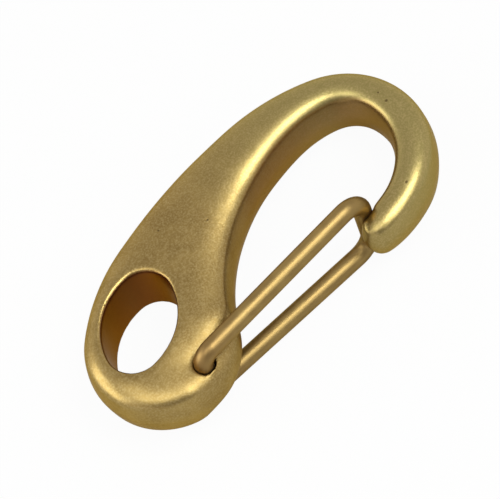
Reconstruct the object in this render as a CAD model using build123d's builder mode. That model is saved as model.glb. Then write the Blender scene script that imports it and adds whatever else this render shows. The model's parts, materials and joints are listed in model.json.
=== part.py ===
"""Eye snap hook: a cast body with an oval eye and a hook, and a sprung gate bent from one wire.

The origin is the middle of the hook. X runs from the eye to the bend, the mouth and its gate are on
the -Y side, and Z runs through the thickness, so that the hook lies on its side. Sizes are in mm.
"""

import os
from math import cos, radians, sin, sqrt

from build123d import *

# Casting, whose walls are upright in a band round the middle and slope in from it to both faces
overall_length = 49.5
overall_width = 24.3
thickness = 8.2
band_height = 1.2
wall_draft = 11
edge_radius = 1.35

# Outline at the band
eye_end_radius = 8.84
eye_end_drop = 0.94  # from the X axis down to the centre of the round eye end
bend_radius = 10.94
crest_setback = 12.3  # from the centre of the bend back to the crest of the arm
shoulder_angle = 128  # where the round eye end passes into the back of the arm
bend_top_angle = 61  # where the back of the arm passes into the round bend
bend_bottom_angle = -90  # where the round bend passes into the nose

# Nose of the hook
nose_width = 3.67
nose_reach = 5.5  # from the centre of the bend to the tip of the nose
nose_lift = 0.19  # from the lowest point of the bend up to the lowest point of the nose
nose_under_angle = 264
nose_top_angle = 82

# Opening of the hook
opening_height = 6.04  # from the centre of the bend up to the top of the opening
opening_setback = 1.45  # from the centre of the bend back to the top of the opening
bend_wall = 4.62
bend_wall_rise = 1.0  # from the centre of the bend up to its thinnest wall
foot_angle = -33  # where the opening's edge runs into the round eye end

# Eye
eye_width = 8.5
eye_side_radius = 8.2
eye_tip_radius = 3.3
eye_tilt = 34
eye_run = 0.1  # from the centre of the eye end to the centre of the eye, along the hook
eye_rise = 2.77
eye_rim_chamfer = 0.3

# Gate
wire = 2.2
crossbar_span = 10.6  # between the centre lines of the two legs at the crossbar
pivot_span = 9.7  # between the centre lines of the two legs at the pivots
corner_bend = 2.5
pivot_bend = 1.6
stub_length = 1.9  # of each end inside its hole
seat_depth = 0.88  # of the notch for the crossbar in the top of the nose
seat_clearance = 0.06

# Boss that carries the gate, and the recess in each face for the gate's leg
boss_thickness = 5.6
pivot_run = 1.0  # from the eye end's centre to the pivots, along the hook
pivot_drop = 5.83  # from the eye end's centre down to the middle between the pivots
pivot_offset = 1.2  # between the two pivots, which twists the wire when the gate opens
pivot_clearance = 0.3
pivot_hole_depth = 2.3
recess_land = 0.1  # of flat floor round each hole
recess_fan = 5  # by which the recess widens away from the pivot
recess_slope = 40
recess_lip_radius = 1.6
recess_foot_radius = 0.8


def heading(angle):
    return Vector(cos(radians(angle)), sin(radians(angle)))


half_length = overall_length / 2
half_width = overall_width / 2
band_top = band_height / 2
eye_end = Vector(eye_end_radius - half_length, -eye_end_drop)
bend = Vector(half_length - bend_radius, bend_radius - half_width)
tip_radius = nose_width / 2
tip = Vector(bend.X - nose_reach + tip_radius, tip_radius + nose_lift - half_width)
crest = Vector(bend.X - crest_setback, half_width)
opening_top = bend + Vector(-opening_setback, opening_height)
opening_end = Vector(half_length - bend_wall, bend.Y + bend_wall_rise)

eye_centre = eye_end + Vector(eye_run, eye_rise)
front_pivot = eye_end + Vector(pivot_run, -pivot_drop - pivot_offset / 2)
rear_pivot = eye_end + Vector(pivot_run, -pivot_drop + pivot_offset / 2)
crossbar = tip + Vector(0, tip_radius + wire / 2 - seat_depth)
hole_radius = wire / 2 + pivot_clearance
boss_face = boss_thickness / 2

# The casting -------------------------------------------------------------------------------------


def join(start, start_angle, end, end_angle):
    """Two arcs that leave one point and reach another with the given headings."""
    leaving = heading(start_angle)
    arriving = heading(end_angle)
    span = end - start
    turn = 2 - 2 * leaving.dot(arriving)
    lean = span.dot(leaving + arriving)
    reach = span.dot(span) / (lean + sqrt(lean**2 + turn * span.dot(span)))
    middle = (start + reach * leaving + end - reach * arriving) / 2
    TangentArc(start, middle, tangent=leaving)
    TangentArc(end, middle, tangent=-arriving)


def on_circle(centre, radius, angle):
    return centre + radius * heading(angle)


with BuildSketch() as outline:
    with BuildLine():
        CenterArc(eye_end, eye_end_radius, shoulder_angle, 360 + foot_angle - shoulder_angle)
        join(on_circle(eye_end, eye_end_radius, foot_angle), foot_angle + 90, opening_top, 0)
        join(opening_top, 0, opening_end, -90)
        join(opening_end, -90, on_circle(tip, tip_radius, nose_top_angle), nose_top_angle + 90)
        CenterArc(tip, tip_radius, nose_top_angle, nose_under_angle - nose_top_angle)
        join(
            on_circle(tip, tip_radius, nose_under_angle),
            nose_under_angle + 90,
            on_circle(bend, bend_radius, bend_bottom_angle),
            bend_bottom_angle + 90,
        )
        CenterArc(bend, bend_radius, bend_bottom_angle, bend_top_angle - bend_bottom_angle)
        join(on_circle(bend, bend_radius, bend_top_angle), bend_top_angle + 90, crest, 180)
        join(crest, 180, on_circle(eye_end, eye_end_radius, shoulder_angle), shoulder_angle + 90)
    make_face()


def face_recess(pivot):
    """The space above the boss that one leg of the gate lies and swings in."""
    reach = (tip.X - pivot.X) / 2
    radius = hole_radius + recess_land
    leg_angle = (crossbar - pivot).get_signed_angle(Vector(1, 0), Vector(0, 0, -1))
    along = heading(leg_angle + recess_fan)
    edge = pivot + radius * heading(leg_angle + recess_fan + 90)
    corner = edge - along * ((edge.X - pivot.X + radius) / along.X)
    with BuildPart() as recess:
        with BuildSketch(Plane.XY.offset(boss_face)) as plan:
            with BuildLine():
                Polyline(
                    corner,
                    corner + reach * along,
                    corner + Vector(reach, -reach),
                    corner + Vector(0, -reach),
                    close=True,
                )
            make_face()
            fillet(plan.vertices().sort_by_distance(corner)[0], radius)
        extrude(amount=thickness / 2)
        sides = recess.faces().filter_by(Plane.XY, reverse=True)
        draft(sides, Plane.XY.offset(boss_face), -recess_slope)
    return recess.part


def rim(part):
    """The edges of the upper face all the way round the outline, recess included."""
    walls = part.faces().filter_by(lambda face: face.bounding_box().min.Z < band_top + 0.001)
    return walls.edges().filter_by(lambda edge: edge.bounding_box().min.Z > band_top + 0.001)


side_rise = eye_side_radius - eye_width / 2
with BuildSketch() as eye:
    with Locations((0, side_rise)):
        Circle(eye_side_radius)
    with Locations((0, -side_rise)):
        Circle(eye_side_radius, mode=Mode.INTERSECT)
    fillet(eye.vertices(), eye_tip_radius)


def above_boss(edge):
    return edge.bounding_box().min.Z > boss_face


def half_body(pivot):
    """The upper half of the casting, with the recess and the hole for one leg of the gate."""
    with BuildPart() as half:
        with BuildSketch(Plane.XY.offset(band_top)):
            add(outline.sketch)
        extrude(amount=thickness / 2 - band_top)
        walls = half.faces().filter_by(GeomType.CYLINDER)
        draft(walls, Plane.XY.offset(band_top), wall_draft)
        add(outline.sketch)
        extrude(amount=band_top)
        add(face_recess(pivot), mode=Mode.SUBTRACT)
        floor = half.faces().filter_by(Plane.XY).sort_by(Axis.Z)[-2]
        fillet(floor.edges() - rim(half), recess_foot_radius)
        face = half.faces().filter_by(Plane.XY).sort_by(Axis.Z)[-1]
        fillet(face.edges() - rim(half), recess_lip_radius)
        fillet(rim(half), edge_radius)
        with BuildSketch():
            with Locations(Location(eye_centre, eye_tilt)):
                add(eye.sketch)
        extrude(amount=thickness, mode=Mode.SUBTRACT)
        eye_wall = half.faces().filter_by(GeomType.CYLINDER)
        chamfer(eye_wall.edges().filter_by(above_boss), eye_rim_chamfer)
        with BuildSketch(Plane.XY.offset(boss_face - pivot_hole_depth)):
            with Locations(pivot):
                Circle(hole_radius)
        extrude(amount=thickness, mode=Mode.SUBTRACT)
    return half.part


with BuildPart() as body:
    add(half_body(front_pivot))
    mirror(half_body(rear_pivot), about=Plane.XY)
    with BuildSketch():
        with Locations(crossbar):
            Circle(wire / 2 + seat_clearance)
    extrude(amount=thickness, both=True, mode=Mode.SUBTRACT)
body.part.label = "body"

# The gate ----------------------------------------------------------------------------------------

stub_end = boss_face - stub_length

with BuildPart() as wire_gate:
    with BuildLine() as route:
        FilletPolyline(
            (front_pivot.X, front_pivot.Y, stub_end),
            (front_pivot.X, front_pivot.Y, pivot_span / 2),
            (crossbar.X, crossbar.Y, crossbar_span / 2),
            (crossbar.X, crossbar.Y, -crossbar_span / 2),
            (rear_pivot.X, rear_pivot.Y, -pivot_span / 2),
            (rear_pivot.X, rear_pivot.Y, -stub_end),
            radius=[pivot_bend, corner_bend, corner_bend, pivot_bend],
        )
    with BuildSketch(Plane(route.line @ 0, z_dir=(0, 0, 1))):
        Circle(wire / 2)
    sweep()
wire_gate.part.label = "wire_gate"

os.makedirs("parts", exist_ok=True)
export_step(body.part, "parts/body.step")
export_step(wire_gate.part, "parts/wire_gate.step")
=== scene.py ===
"""Looks of the eye snap hook: a matt gold casting and its wire gate on a white studio floor."""
import json
from math import cos, radians, sin

import bpy
import numpy as np
from mathutils import Matrix, Quaternion, Vector


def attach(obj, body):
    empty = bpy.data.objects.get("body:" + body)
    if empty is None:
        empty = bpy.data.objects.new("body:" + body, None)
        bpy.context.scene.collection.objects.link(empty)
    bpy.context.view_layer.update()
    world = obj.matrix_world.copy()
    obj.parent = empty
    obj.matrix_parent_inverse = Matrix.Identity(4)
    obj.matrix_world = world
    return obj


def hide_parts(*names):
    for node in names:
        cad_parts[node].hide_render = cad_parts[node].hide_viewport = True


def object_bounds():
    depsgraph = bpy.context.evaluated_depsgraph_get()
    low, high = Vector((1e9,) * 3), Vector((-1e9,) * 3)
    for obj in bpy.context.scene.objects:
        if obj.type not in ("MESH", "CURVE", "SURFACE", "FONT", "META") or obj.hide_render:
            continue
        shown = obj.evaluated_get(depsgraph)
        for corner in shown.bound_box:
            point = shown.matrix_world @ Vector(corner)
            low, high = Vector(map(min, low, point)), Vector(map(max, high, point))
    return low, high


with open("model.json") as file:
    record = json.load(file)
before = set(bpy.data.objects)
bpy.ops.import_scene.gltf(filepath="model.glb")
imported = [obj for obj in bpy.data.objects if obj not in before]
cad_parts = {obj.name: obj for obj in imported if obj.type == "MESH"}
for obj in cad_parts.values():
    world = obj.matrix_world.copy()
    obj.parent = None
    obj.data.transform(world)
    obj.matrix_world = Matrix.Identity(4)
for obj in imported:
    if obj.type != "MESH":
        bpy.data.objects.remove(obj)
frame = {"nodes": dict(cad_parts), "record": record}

cad_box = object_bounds()
mm = 0.001

# Camera: a long lens that looks down on the hook from the gate's side, its angles in degrees
camera_azimuth = -115.6
camera_elevation = 60
camera_roll = -23.8
camera_distance = 304.9 * mm
camera_aim = Vector((-0.605, 0.03, 0)) * mm
camera_lens = 194.4
camera_clip = 1 * mm

# Studio, with directions as an azimuth and an elevation in degrees
floor_height = cad_box[0][2]
floor_reach = 2.0
floor_grey = 0.58
floor_glow = 0.95  # share of the floor's white that needs no lamp; the rest takes the shadow
floor_in_gloss = 0.25  # of that share, as the metal mirrors it
sky_color = (1, 0.97, 0.95, 1)
sky_light = 0.6  # as it lights the hook
sky_overhead = 0.68  # as it is seen or mirrored, where the horizon is 1
dark_side = (-110, 30)
dark_side_level = 0.45
lamp_distance = 400 * mm
lamp_color = (0.96, 1.0, 0.97)

# Base colours
gold_deep = (0.29, 0.194, 0.064, 1)
gold_pale = (0.36, 0.248, 0.084, 1)
# painted reflection: a greener tint toward the bend and nose, standing in for the greenish
# surroundings they mirror
painted_bend_reflection = (0.34, 0.275, 0.100, 1)
gold_of_grain = (0.50, 0.38, 0.17, 1)
pit_brown = (0.08, 0.05, 0.02, 1)
# painted shade and reflection: the walls of the eye and the opening darker and browner
hollow_painted_shade_brown = (0.235, 0.084, 0.026, 1)
wire_deep = (0.28, 0.188, 0.070, 1)
wire_pale = (0.325, 0.222, 0.082, 1)
# painted shade: the wire browner where its ends run into the casting
wire_end_painted_shade = (0.25, 0.130, 0.048, 1)
grazing_gold = (0.78, 0.62, 0.38, 1)

# Sizes of the lumps and patches in the gold
blasted_grain = 0.22 * mm
cast_ripples = 1.1 * mm
cast_clouds = 2.6 * mm
drawn_grain = 0.3 * mm
drawn_clouds = 1.8 * mm

# Places in the CAD hook and sizes of its parts, in mm
mount_places = {mount["name"]: Vector(mount["pos_m"]) / mm for mount in frame["record"]["mounts"]}
eye_place = mount_places["eye"]
eye_tilt = radians(34)
eye_half_length = 6.2
eye_half_width = 4.25
opening_place = mount_places["hook_bearing"] - Vector((5, 1, 0))
pivot_place = Vector(frame["record"]["behaviour"]["joints"][0]["pos_m"]) / mm
half_pivot_offset = 0.6
cad_hole_radius = 1.4
boss_face = 2.8
face_height = 4.1
notch_place = Vector((10.145, -8.07, 0))
notch_radius = 1.16
nose_place = Vector((10.0, -10.0, 0))
nose_bulge_place = Vector((9.5, -11.0, 0))
throat_place = Vector((12.5, -7.5, 0))

# How the casting departs from the CAD, in mm
recess_left = 0.55  # of the CAD recess's depth
hole_radius = 1.25
hole_shift = 0.11  # each end of the wire moves this way in its hole as the gate opens
notch_freed = 0.2  # at both ends of the notch, where the wire bends
nose_bulge = 0.4
nose_bulge_end = 4.3  # height at which the bulge has run out
grown_at_middle = 0.04  # rounding over draws the walls in a little, so they go back out
grown_at_face = 0.26

# How far its edges are rounded over, in mm: in the outline, and in height
arm_softness = (0.65, 2.5)
bend_softness = (0.65, 1.5)
eye_end_softness = (0.65, 1.9)
nose_softness = (0.5, 2.2)
eye_rim_softness = (0.25, 0.25)
pivot_softness = (0.2, 0.2)
notch_softness = (0.18, 0.18)
skin_step = 0.2  # of the even mesh that is rounded over
soft_rounds = 360

# Hollows whose walls get painted shade, darker and browner: where they are, how wide in mm, and how
# strong the painted shade is
painted_shade_hollows = ((eye_place, 8.0, 1.0), (opening_place, 21.0, 0.55))

# A few casting pits: where they are, and their radii, in mm
casting_pits = (
    ((21.92, -1.38, 3.9), 0.24),
    ((22.15, 0.07, 3.9), 0.17),
    ((15.56, -10.13, 3.7), 0.22),
    ((6.83, 2.91, 3.5), 0.19),
    ((-1.81, 4.55, 4.1), 0.20),
    ((-6.28, 8.04, 4.1), 0.17),
    ((-15.88, 6.20, 4.1), 0.15),
    ((-16.75, 6.31, 4.1), 0.18),
)


def direction(azimuth, elevation):
    """The unit vector that points at an azimuth and an elevation, in degrees."""
    turn, lift = radians(azimuth), radians(elevation)
    return Vector((cos(turn) * cos(lift), sin(turn) * cos(lift), sin(lift)))


# Materials ---------------------------------------------------------------------------------------


class Nodes:
    """The nodes of a material or a world, added and joined in short calls."""

    def __init__(self, owner):
        owner.use_nodes = True
        self.owner = owner
        self.tree = owner.node_tree

    def add(self, kind, inputs=None, **settings):
        node = self.tree.nodes.new(kind)
        for key, value in settings.items():
            setattr(node, key, value)
        for key, value in (inputs or {}).items():
            self.join(value, node.inputs[key])
        return node

    def join(self, value, socket):
        if isinstance(value, bpy.types.NodeSocket):
            self.tree.links.new(value, socket)
        else:
            socket.default_value = value

    def math(self, operation, a, b):
        return self.add("ShaderNodeMath", {0: a, 1: b}, operation=operation).outputs[0]

    def vector(self, operation, a, b):
        return self.add("ShaderNodeVectorMath", {0: a, 1: b}, operation=operation)

    def spread(self, value, start, end, to_start, to_end, **settings):
        """Maps a value from one range to another, clamped at both ends."""
        names = ("Value", "From Min", "From Max", "To Min", "To Max")
        inputs = dict(zip(names, (value, start, end, to_start, to_end)))
        return self.add("ShaderNodeMapRange", inputs, **settings).outputs[0]

    def seen(self, in_gloss):
        """1 for rays from the camera, and the given share for those in gloss or through glass."""
        path = self.add("ShaderNodeLightPath")
        total = path.outputs["Is Camera Ray"]
        for name in ("Is Glossy Ray", "Is Transmission Ray"):
            total = self.math("MAXIMUM", total, self.math("MULTIPLY", path.outputs[name], in_gloss))
        return total


class Gold(Nodes):
    """A gold material, with its textures laid out in the piece's own space."""

    def __init__(self, name):
        super().__init__(bpy.data.materials.new(name))
        self.shader = self.tree.nodes["Principled BSDF"]
        self.shader.inputs["Metallic"].default_value = 1.0
        self.shader.inputs["Specular Tint"].default_value = grazing_gold
        self.place = self.add("ShaderNodeTexCoord").outputs["Object"]
        self.along = self.add("ShaderNodeSeparateXYZ", {0: self.place}).outputs["X"]

    def noise(self, size, detail, roughness=0.5):
        """Noise whose lumps are about the given size in metres."""
        inputs = {
            "Vector": self.place,
            "Scale": 1 / size,
            "Detail": detail,
            "Roughness": roughness,
        }
        return self.add("ShaderNodeTexNoise", inputs).outputs["Fac"]

    def blend(self, factor, a, b):
        """Mixes two colours."""
        inputs = {"Factor": factor, 6: a, 7: b}
        return self.add("ShaderNodeMix", inputs, data_type="RGBA").outputs[2]

    def clouded(self, cloud, deep, pale):
        """Two shades that pass into one another in soft patches."""
        return self.blend(self.spread(cloud, 0.35, 0.65, 0.0, 1.0), deep, pale)

    def bump(self, height, strength, depth, normal=None):
        """A surface that rises with the height, or sinks where the depth is negative."""
        inputs = {"Height": height, "Strength": strength, "Distance": depth}
        if normal:
            inputs["Normal"] = normal
        return self.add("ShaderNodeBump", inputs).outputs[0]

    def pits(self):
        """1 in each casting pit, 0 elsewhere."""
        total = None
        flat = Vector((1, 1, 0.2))  # so that a pit just above the surface still marks it
        here = self.vector("MULTIPLY", self.place, flat).outputs[0]
        for place, radius in casting_pits:
            gap = self.vector("DISTANCE", here, Vector(place) * flat * mm).outputs["Value"]
            pit = self.spread(gap, radius * 0.4 * mm, radius * mm, 1.0, 0.0)
            total = self.math("MAXIMUM", total, pit) if total else pit
        return total

    def complete(self, color, roughness, normal):
        """The material, once its surface is joined to its shader."""
        self.join(color, self.shader.inputs["Base Color"])
        self.join(roughness, self.shader.inputs["Roughness"])
        self.join(normal, self.shader.inputs["Normal"])
        return self.owner


def casting_material():
    """Gold plating over a sand-blasted casting, with painted shade and reflection that make the
    walls of its hollows darker and browner, and duller at its pivot.
    """
    gold = Gold("casting_gold")
    grain = gold.noise(blasted_grain, detail=3.0, roughness=0.6)
    cloud = gold.noise(cast_clouds, detail=3.0)
    ripple = gold.noise(cast_ripples, detail=1.0)
    pits = gold.pits()

    # Painted reflection: the gold turns greener toward the bend
    toward_painted_bend_reflection = gold.spread(gold.along, -2 * mm, 18 * mm, 0.0, 1.0)
    on_grain = gold.spread(grain, 0.42, 0.68, 0.0, 0.6)
    in_pits = gold.math("MULTIPLY", pits, 0.75)
    # Painted shade and reflection: the walls of the hollows darker and browner
    painted_shade_in_hollows = gold.add("ShaderNodeAttribute", attribute_name="hollow_painted_shade").outputs["Fac"]
    color = gold.clouded(cloud, gold_deep, gold_pale)
    color = gold.blend(toward_painted_bend_reflection, color, painted_bend_reflection)
    color = gold.blend(on_grain, color, gold_of_grain)
    color = gold.blend(in_pits, color, pit_brown)
    color = gold.blend(painted_shade_in_hollows, color, hollow_painted_shade_brown)

    in_plan = gold.vector("MULTIPLY", gold.place, Vector((1, 1, 0))).outputs[0]
    from_pivot = gold.vector("DISTANCE", in_plan, pivot_place * mm).outputs["Value"]
    duller = gold.spread(from_pivot, 2.5 * mm, 5.5 * mm, 0.14, 0.0)
    roughness = gold.math("ADD", gold.spread(grain, 0.3, 0.7, 0.30, 0.38), duller)

    normal = gold.bump(ripple, strength=0.5, depth=0.03 * mm)
    normal = gold.bump(grain, strength=0.5, depth=0.02 * mm, normal=normal)
    normal = gold.bump(pits, strength=0.6, depth=-0.03 * mm, normal=normal)
    return gold.complete(color, roughness, normal)


def wire_material():
    """Gold plating over drawn wire, smooth but satin, with painted shade that makes it browner at
    the ends in the casting.
    """
    gold = Gold("wire_gold")
    grain = gold.noise(drawn_grain, detail=1.0)
    cloud = gold.noise(drawn_clouds, detail=2.0)
    # Painted shade toward the wire's ends in the casting
    painted_shade_to_ends = gold.spread(gold.along, -15 * mm, -9 * mm, 0.35, 0.0)
    color = gold.clouded(cloud, wire_deep, wire_pale)
    color = gold.blend(painted_shade_to_ends, color, wire_end_painted_shade)
    roughness = gold.spread(cloud, 0.3, 0.7, 0.40, 0.46)
    normal = gold.bump(grain, strength=0.04, depth=0.004 * mm)
    return gold.complete(color, roughness, normal)


def floor_material():
    """A white floor that keeps the hook's shadow."""
    white = Nodes(bpy.data.materials.new("floor_white"))
    white.tree.nodes.clear()
    lit = white.add("ShaderNodeBsdfDiffuse", {"Color": (floor_grey, floor_grey, floor_grey, 1)})
    glow = white.add("ShaderNodeEmission", {"Strength": 1.0})
    share = white.math("MULTIPLY", white.seen(floor_in_gloss), floor_glow)
    mix = white.add("ShaderNodeMixShader", {0: share, 1: lit.outputs[0], 2: glow.outputs[0]})
    white.add("ShaderNodeOutputMaterial", {"Surface": mix.outputs[0]})
    return white.owner


# Gate --------------------------------------------------------------------------------------------

gate_material = wire_material()
for slot in frame["nodes"]["wire_gate"].material_slots:
    slot.material = gate_material

# Casting -----------------------------------------------------------------------------------------


def past(value, start, full):
    """0 up to the start, rising smoothly to 1 at the full value."""
    share = np.clip((value - start) / (full - start), 0, 1)
    return share * share * (3 - 2 * share)


def near(distance, inside, outside):
    """1 up to the inner distance, falling smoothly to 0 at the outer one."""
    return past(-distance, -outside, -inside)


def from_place(x, y, place):
    """How far each point lies from a place, seen from above."""
    return np.hypot(x - place.x, y - place.y)


def softness(points):
    """How far each point's surroundings are rounded over, in mm: in the outline, and in height."""
    x, y, z = points.T
    height = np.abs(z)
    along = (x - eye_place.x) * cos(eye_tilt) + (y - eye_place.y) * sin(eye_tilt)
    across = (y - eye_place.y) * cos(eye_tilt) - (x - eye_place.x) * sin(eye_tilt)
    eye_ring = np.hypot(along / eye_half_length, across / eye_half_width)
    eye_gap = np.abs(eye_ring - 1) * eye_half_width
    pivot_gap = from_place(x, y + np.sign(z) * half_pivot_offset, pivot_place)
    notch_gap = from_place(x, y, notch_place)
    nose_gap = from_place(x, y, nose_place)

    flat, crown = (np.full(len(points), soft) for soft in arm_softness)
    for share, (flat_here, crown_here) in (
        (past(x, 4.0, 10.0), bend_softness),
        (past(-x, 8.0, 14.0), eye_end_softness),
        (near(nose_gap, 3.0, 8.0), nose_softness),
        (near(eye_gap, 0.4, 1.6), eye_rim_softness),
        (near(pivot_gap, 1.3, 2.0), pivot_softness),
        (near(notch_gap, 1.2, 1.6) * near(height, 2.0, 3.2), notch_softness),
    ):
        flat += (flat_here - flat) * share
        crown += (crown_here - crown) * share
    return flat, crown


def painted_shade_share(points, normals):
    """How much painted shade each point takes, darker and browner: the walls round the hollows, not
    the faces and outer walls.
    """
    x, y, _ = points.T
    inside = np.zeros(len(points))
    for place, reach, painted_shade_strength in painted_shade_hollows:
        away = from_place(x, y, place)
        facing = -(normals[:, 0] * (x - place.x) + normals[:, 1] * (y - place.y)) / away
        here = past(facing, 0.55, 0.97) * near(away, reach * 0.9, reach)
        inside = np.maximum(inside, painted_shade_strength * here)
    return inside


def settled_at_pivot(points):
    """The skin with shallower recesses for the wire's legs, and tighter holes for its ends."""
    x, y, z = points.T
    side = np.sign(z)
    height = np.abs(z)
    run = x - pivot_place.x
    rise = y - pivot_place.y + side * half_pivot_offset
    gap = np.hypot(run, rise)

    above = face_height - (face_height - height) * recess_left
    below = height * (face_height - (face_height - boss_face) * recess_left) / boss_face
    filled = np.where(height > boss_face, above, below)
    height = height + (filled - height) * near(gap, 3.0, 6.5)

    at_hole = near(np.abs(gap - cad_hole_radius), 0.15, 0.7)
    tighter = hole_radius / cad_hole_radius - 1
    x = x + at_hole * (run * tighter + side * hole_shift)
    y = y + at_hole * rise * tighter
    return np.stack([x, y, side * height], axis=1)


def settled_at_nose(points):
    """The skin with a notch that is freer at both ends, and a nose that is fuller outside."""
    x, y, z = points.T
    height = np.abs(z)
    run = x - notch_place.x
    rise = y - notch_place.y
    gap = np.hypot(run, rise)
    freed = near(np.abs(gap - notch_radius), 0.15, 0.6) * past(height, 2.0, 3.2)
    freed *= notch_freed / gap

    out_x = x - throat_place.x
    out_y = y - throat_place.y
    reach = np.hypot(out_x, out_y)
    fuller = near(from_place(x, y, nose_bulge_place), 2.0, 7.0) * (1 - near(gap, 1.3, 2.2))
    fuller *= np.clip(1 - (height / nose_bulge_end) ** 4, 0, 1) * past(reach, 2.0, 4.0)
    fuller *= nose_bulge / reach

    x = x + run * freed + out_x * fuller
    y = y + rise * freed + out_y * fuller
    return np.stack([x, y, z], axis=1)


def even_skin(node, name):
    """An object with an evenly meshed copy of a CAD node, in mm."""
    piece = bpy.data.objects.new(name, frame["nodes"][node].data.copy())
    piece.data.transform(Matrix.Scale(1 / mm, 4))
    bpy.context.scene.collection.objects.link(piece)
    remesh = piece.modifiers.new("skin", "REMESH")
    remesh.mode = "VOXEL"
    remesh.voxel_size = skin_step
    remesh.use_smooth_shade = True
    graph = bpy.context.evaluated_depsgraph_get()
    skin = bpy.data.meshes.new_from_object(piece.evaluated_get(graph))
    piece.modifiers.clear()
    piece.data = skin
    return piece


def vertex_rows(mesh, key):
    """The places ("co") or normals ("normal") of a mesh's vertices, one row each."""
    values = np.empty(len(mesh.vertices) * 3)
    mesh.vertices.foreach_get(key, values)
    return values.reshape(-1, 3)


def place_vertices(mesh, points):
    """Puts a mesh's vertices at points given in mm."""
    mesh.vertices.foreach_set("co", (points * mm).ravel())
    mesh.update()


def rounded_over(mesh, points, flat, crown):
    """The points after many short steps, each toward the middle of its neighbours."""
    count = len(points)
    edges = np.empty(len(mesh.edges) * 2, dtype=np.int32)
    mesh.edges.foreach_get("vertices", edges)
    starts, ends = edges.reshape(-1, 2).T
    degree = np.bincount(edges, minlength=count)[:, None]
    # A full step spreads a point with a variance of half the square of the mesh's step
    weight = np.stack([flat, flat, crown], axis=1) ** 2 / (soft_rounds * skin_step**2 / 2)
    for _ in range(soft_rounds):
        sums = [
            np.bincount(starts, points[ends, axis], count)
            + np.bincount(ends, points[starts, axis], count)
            for axis in range(3)
        ]
        points = points + weight * (np.stack(sums, axis=1) / degree - points)
    return points


def grown_out(points, normals, flat):
    """The points with the walls back out, but not at the eye and the wire, where flat is small."""
    grown = grown_at_middle + grown_at_face * (points[:, 2] / face_height) ** 2
    grown *= np.clip((flat - 0.3) / 0.2, 0, 1)
    return points + grown[:, None] * normals * (1, 1, 0)


def soft_casting():
    """The CAD body with its faces crowned and its edges run into one another."""
    piece = even_skin("body", "casting")
    mesh = piece.data
    points = settled_at_nose(settled_at_pivot(vertex_rows(mesh, "co")))
    flat, crown = softness(points)
    points = rounded_over(mesh, points, flat, crown)
    place_vertices(mesh, points)

    normals = vertex_rows(mesh, "normal")
    points = grown_out(points, normals, flat)
    place_vertices(mesh, points)

    # Painted shade on the walls of the hollows, kept on the mesh for the material
    hollow_painted_shade = mesh.attributes.new("hollow_painted_shade", "FLOAT", "POINT")
    hollow_painted_shade.data.foreach_set("value", painted_shade_share(points, normals))
    mesh.materials.clear()
    mesh.materials.append(casting_material())
    return piece


casting = soft_casting()
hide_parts("body")
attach(casting, "hook")

# Stage -------------------------------------------------------------------------------------------

floor_mesh = bpy.data.meshes.new("floor")
corners = [
    (x * floor_reach, y * floor_reach, floor_height)
    for x, y in ((-1, -1), (1, -1), (1, 1), (-1, 1))
]
floor_mesh.from_pydata(corners, [], [(0, 1, 2, 3)])
floor = bpy.data.objects.new("floor", floor_mesh)
bpy.context.scene.collection.objects.link(floor)
floor_mesh.materials.append(floor_material())


def lamp(name, azimuth, elevation, width, height, power):
    """A soft rectangular lamp that faces the hook, its angles in degrees, its sizes in metres."""
    data = bpy.data.lights.new(name, "AREA")
    data.shape = "RECTANGLE"
    data.size = width
    data.size_y = height
    data.energy = power
    data.color = lamp_color
    item = bpy.data.objects.new(name, data)
    toward = direction(azimuth, elevation)
    item.location = toward * lamp_distance
    item.rotation_euler = toward.to_track_quat("Z", "Y").to_euler()
    bpy.context.scene.collection.objects.link(item)


lamp("lamp_over_eye", -165, 64, 0.20, 0.20, 0.32)
lamp("lamp_over_gate", -55, 66, 0.18, 0.18, 0.9)
lamp("lamp_left", 150, 22, 0.30, 0.25, 0.7)
lamp("lamp_right", -74, 42, 0.13, 0.13, 0.2)

# The studio is white at the horizon, dimmer overhead, and darker on one side
sky = Nodes(bpy.data.worlds.new("studio"))
bpy.context.scene.world = sky.owner
background = sky.tree.nodes["Background"]
background.inputs["Color"].default_value = sky_color
toward_sky = sky.add("ShaderNodeTexCoord").outputs["Generated"]
upward = sky.add("ShaderNodeSeparateXYZ", {0: toward_sky}).outputs["Z"]
sideward = sky.vector("DOT_PRODUCT", toward_sky, direction(*dark_side)).outputs["Value"]
smooth = {"interpolation_type": "SMOOTHSTEP"}
by_height = sky.spread(upward, 0.05, 0.8, 1.0, sky_overhead, **smooth)
by_side = sky.spread(sideward, 0.65, 0.95, 1.0, dark_side_level, **smooth)
dimmed = sky.math("MULTIPLY", by_height, by_side)
level = sky.spread(sky.seen(1.0), 0.0, 1.0, sky_light, dimmed)
sky.join(level, background.inputs["Strength"])

# Camera ------------------------------------------------------------------------------------------

camera_data = bpy.data.cameras.new("camera")
camera_data.lens = camera_lens
camera_data.clip_start = camera_clip
camera = bpy.data.objects.new("camera", camera_data)
toward_camera = direction(camera_azimuth, camera_elevation)
camera.location = camera_aim + toward_camera * camera_distance
roll = Quaternion((0, 0, 1), radians(camera_roll))
camera.rotation_euler = (toward_camera.to_track_quat("Z", "Y") @ roll).to_euler()
bpy.context.scene.collection.objects.link(camera)
bpy.context.scene.camera = camera
bpy.context.scene.view_settings.view_transform = "Standard"
